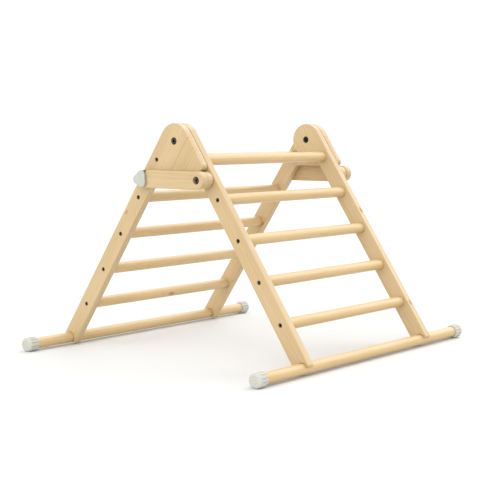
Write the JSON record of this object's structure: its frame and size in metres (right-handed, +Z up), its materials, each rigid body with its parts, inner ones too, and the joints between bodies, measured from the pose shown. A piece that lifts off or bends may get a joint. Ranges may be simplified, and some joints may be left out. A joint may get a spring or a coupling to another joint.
{
  "type": "folding climbing triangle",
  "caption": "Folding wooden climbing triangle for toddlers: two rung ladders hinged at the top, held apart by swinging lock bars with hand knobs, on ground bars with soft end caps.",
  "frame": {"origin": "on the floor, midway between the feet and midway along the rungs, below the fold axis", "axes": "+X from the rear ladder's foot to the front ladder's, +Y along the rungs away from the near side, +Z up"},
  "size_m": [0.793, 0.9186, 0.5933],
  "materials": {
    "pine_board": "planed pine board, clear satin lacquer, softened edges",
    "pine_dowel": "turned pine dowel, clear satin lacquer",
    "cap": "light grey soft plastic, ribbed skirt",
    "knob": "light grey moulded plastic",
    "black_steel": "blackened steel",
    "zinc_steel": "zinc plated steel",
    "nylon": "natural nylon"
  },
  "bodies": {
    "rear_ladder": {"knob_stud_far": "zinc_steel", "knob_stud_near": "zinc_steel", "pivot_bolt_far": "black_steel", "pivot_bolt_near": "black_steel", "pivot_nut_far": "black_steel", "pivot_nut_near": "black_steel", "pivot_washer_far": "nylon", "pivot_washer_near": "nylon", "rear_cap_far": "cap", "rear_cap_near": "cap", "rear_foot_screw_far": "zinc_steel", "rear_foot_screw_near": "zinc_steel", "rear_ground_bar": "pine_dowel", "rear_rail_far": "pine_board", "rear_rail_near": "pine_board", "rear_rung_1": "pine_dowel", "rear_rung_2": "pine_dowel", "rear_rung_3": "pine_dowel", "rear_rung_4": "pine_dowel", "rear_rung_5": "pine_dowel", "rear_rung_screw_far_1": "black_steel", "rear_rung_screw_far_2": "black_steel", "rear_rung_screw_far_3": "black_steel", "rear_rung_screw_far_4": "black_steel", "rear_rung_screw_far_5": "black_steel", "rear_rung_screw_near_1": "black_steel", "rear_rung_screw_near_2": "black_steel", "rear_rung_screw_near_3": "black_steel", "rear_rung_screw_near_4": "black_steel", "rear_rung_screw_near_5": "black_steel"},
    "front_ladder": {"front_cap_far": "cap", "front_cap_near": "cap", "front_foot_screw_far": "zinc_steel", "front_foot_screw_near": "zinc_steel", "front_ground_bar": "pine_dowel", "front_rail_far": "pine_board", "front_rail_near": "pine_board", "front_rung_1": "pine_dowel", "front_rung_2": "pine_dowel", "front_rung_3": "pine_dowel", "front_rung_4": "pine_dowel", "front_rung_5": "pine_dowel", "front_rung_screw_far_1": "black_steel", "front_rung_screw_far_2": "black_steel", "front_rung_screw_far_3": "black_steel", "front_rung_screw_far_4": "black_steel", "front_rung_screw_far_5": "black_steel", "front_rung_screw_near_1": "black_steel", "front_rung_screw_near_2": "black_steel", "front_rung_screw_near_3": "black_steel", "front_rung_screw_near_4": "black_steel", "front_rung_screw_near_5": "black_steel", "lock_bolt_far": "black_steel", "lock_bolt_near": "black_steel"},
    "near_lock_bar": {"lock_bar_near": "pine_board", "lock_spacer_near": "pine_board"},
    "far_lock_bar": {"lock_bar_far": "pine_board", "lock_spacer_far": "pine_board"},
    "near_knob": {"knob_near": "knob"},
    "far_knob": {"knob_far": "knob"}
  },
  "joints": [
    {"name": "fold", "type": "hinge", "parent": "rear_ladder", "child": "front_ladder", "pos_m": [0, 0, 0.54887], "axis": [0, 1, 0], "range_deg": [0, 67]},
    {"name": "near_lock_bar_swing", "type": "hinge", "parent": "front_ladder", "child": "near_lock_bar", "pos_m": [0.08996, -0.3124, 0.45372], "axis": [0, -1, 0], "range_deg": [0, 123.5]},
    {"name": "far_lock_bar_swing", "type": "hinge", "parent": "front_ladder", "child": "far_lock_bar", "pos_m": [0.08996, 0.3124, 0.45372], "axis": [0, -1, 0], "range_deg": [0, 123.5]},
    {"name": "near_knob_turn", "type": "hinge", "parent": "rear_ladder", "child": "near_knob", "pos_m": [-0.08996, -0.3307, 0.45372], "axis": [0, -1, 0], "continuous": true},
    {"name": "far_knob_turn", "type": "hinge", "parent": "rear_ladder", "child": "far_knob", "pos_m": [-0.08996, 0.3307, 0.45372], "axis": [0, 1, 0], "continuous": true}
  ],
  "couplings": [
    {"joint": "near_lock_bar_swing", "follows": "fold", "ratio": 1.8433},
    {"joint": "far_lock_bar_swing", "follows": "fold", "ratio": 1.8433}
  ]
}
